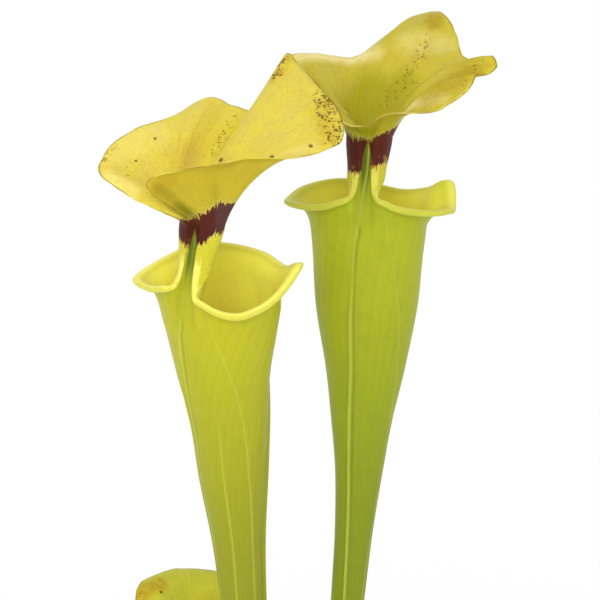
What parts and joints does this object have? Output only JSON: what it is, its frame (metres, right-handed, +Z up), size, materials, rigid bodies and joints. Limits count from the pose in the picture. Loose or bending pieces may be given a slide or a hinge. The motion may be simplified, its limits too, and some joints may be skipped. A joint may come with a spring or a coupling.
{
  "type": "yellow pitcher plant",
  "caption": "Potted yellow pitcher plant: tall hollow trumpet leaves with rolled lips and wide heart-shaped lids, growing from a creeping rootstock in a plain round pot.",
  "frame": {"origin": "centre of the pot's flat underside", "axes": "+Z up along the pot's axis, +X to the right and +Y away from whoever looks at the backs of the tall pitchers"},
  "size_m": [0.1933, 0.1443, 0.5515],
  "materials": {
    "leaf": "satin",
    "rootstock": "matte",
    "potting_mix": "matte",
    "pot": "matte"
  },
  "bodies": {
    "root": {"pitcher_left": "leaf", "pitcher_right": "leaf", "pitcher_small": "leaf", "rhizome": "rootstock", "potting_mix": "potting_mix", "pot": "pot"}
  },
  "joints": []
}
